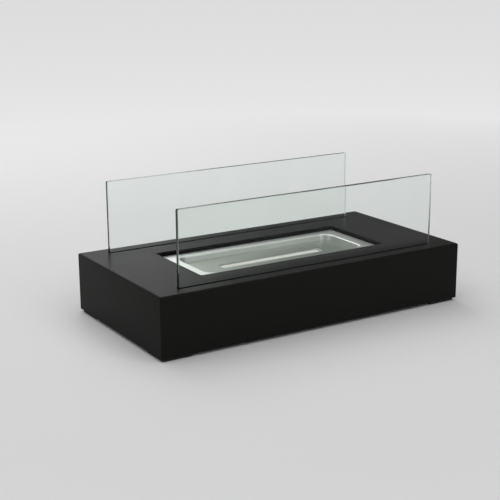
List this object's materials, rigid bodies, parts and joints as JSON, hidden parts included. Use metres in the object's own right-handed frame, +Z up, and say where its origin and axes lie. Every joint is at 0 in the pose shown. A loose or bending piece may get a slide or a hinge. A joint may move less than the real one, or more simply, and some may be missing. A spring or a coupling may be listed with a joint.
{
  "type": "bioethanol fireplace",
  "caption": "Tabletop bioethanol fireplace: low black sheet-steel box with a lift-out stainless burner in its top, and upright clear glass panels in front of it and behind it.",
  "frame": {"origin": "middle of the footprint, on the surface that the feet stand on", "axes": "+Z up, +X along the long side, the front faces -Y"},
  "size_m": [0.35, 0.18, 0.136],
  "materials": {
    "black_coat": "satin black powder coat",
    "black_rail": "matt black paint",
    "stainless": "fine satin stainless steel",
    "clear_glass": "clear tempered glass with ground edges",
    "silicone": "matt black silicone",
    "ceramic_wool": "white ceramic fibre",
    "zinc_steel": "zinc-plated",
    "foot_rubber": "matt black elastomer"
  },
  "bodies": {
    "casing": {"housing": "black_coat", "burner_frame": "black_rail", "base_plate": "black_rail", "base_bracket_front_left": "black_rail", "weld_nut_front_left": "zinc_steel", "base_screw_front_left": "zinc_steel", "foot_front_left": "foot_rubber", "base_bracket_front_right": "black_rail", "weld_nut_front_right": "zinc_steel", "base_screw_front_right": "zinc_steel", "foot_front_right": "foot_rubber", "base_bracket_rear_left": "black_rail", "weld_nut_rear_left": "zinc_steel", "base_screw_rear_left": "zinc_steel", "foot_rear_left": "foot_rubber", "base_bracket_rear_right": "black_rail", "weld_nut_rear_right": "zinc_steel", "base_screw_rear_right": "zinc_steel", "foot_rear_right": "foot_rubber", "front_glass_liner": "silicone", "front_glass_channel": "black_rail", "rear_glass_liner": "silicone", "rear_glass_channel": "black_rail"},
    "burner": {"burner_pan": "stainless", "burner_lid": "stainless", "ceramic_wool": "ceramic_wool"},
    "front_panel": {"front_glass": "clear_glass"},
    "rear_panel": {"rear_glass": "clear_glass"}
  },
  "joints": [
    {"name": "burner_lift", "type": "slide", "parent": "casing", "child": "burner", "axis": [0, 0, 1], "range_m": [0, 0.125]},
    {"name": "front_glass_lift", "type": "slide", "parent": "casing", "child": "front_panel", "axis": [0, 0, 1], "range_m": [0, 0.1]},
    {"name": "rear_glass_lift", "type": "slide", "parent": "casing", "child": "rear_panel", "axis": [0, 0, 1], "range_m": [0, 0.1]}
  ]
}
